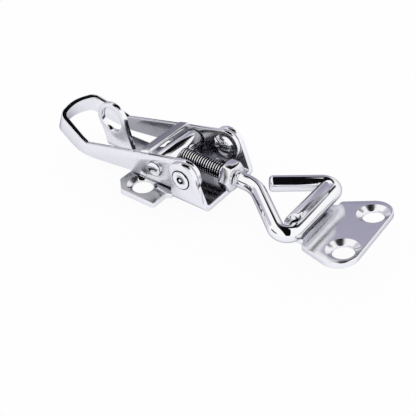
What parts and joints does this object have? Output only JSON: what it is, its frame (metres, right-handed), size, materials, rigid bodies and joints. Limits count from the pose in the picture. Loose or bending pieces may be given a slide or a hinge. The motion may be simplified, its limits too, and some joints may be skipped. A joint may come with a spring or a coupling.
{
  "type": "over centre toggle latch",
  "caption": "Over centre toggle latch: folded base with a padlock lug, stirrup lever, adjustable hook rod and a curled strike plate.",
  "frame": {"origin": "on the mounting plane, halfway between the two base screws", "axes": "+X towards the strike plate, +Z away from the mounting plane, +Y across"},
  "size_m": [0.0938, 0.0324, 0.014],
  "materials": {
    "plated_steel": "bright plated steel"
  },
  "bodies": {
    "base": {"base_plate": "plated_steel", "pivot_rivet_near": "plated_steel", "pivot_rivet_far": "plated_steel"},
    "lever": {"lever": "plated_steel"},
    "barrel": {"barrel": "plated_steel"},
    "hook": {"hook_rod": "plated_steel", "lock_nut": "plated_steel"},
    "strike": {"strike_plate": "plated_steel"}
  },
  "joints": [
    {"name": "lever_hinge", "type": "hinge", "parent": "base", "child": "lever", "pos_m": [0.0117, 0, 0.0071], "axis": [0, 1, 0], "range_deg": [0, 95]},
    {"name": "barrel_turn", "type": "hinge", "parent": "lever", "child": "barrel", "pos_m": [0.0023, 0, 0.0058], "axis": [0, 1, 0], "range_deg": [-80, 0]},
    {"name": "rod_adjust", "type": "slide", "parent": "barrel", "child": "hook", "axis": [0.9996, 0, -0.0274], "range_m": [-0.009, 0]},
    {"name": "strike_swing", "type": "hinge", "parent": "hook", "child": "strike", "pos_m": [0.0425, 0, 0.0047], "axis": [0, 1, 0], "range_deg": [-20, 12]}
  ],
  "couplings": [
    {"joint": "barrel_turn", "follows": "lever_hinge", "ratio": -0.835}
  ]
}
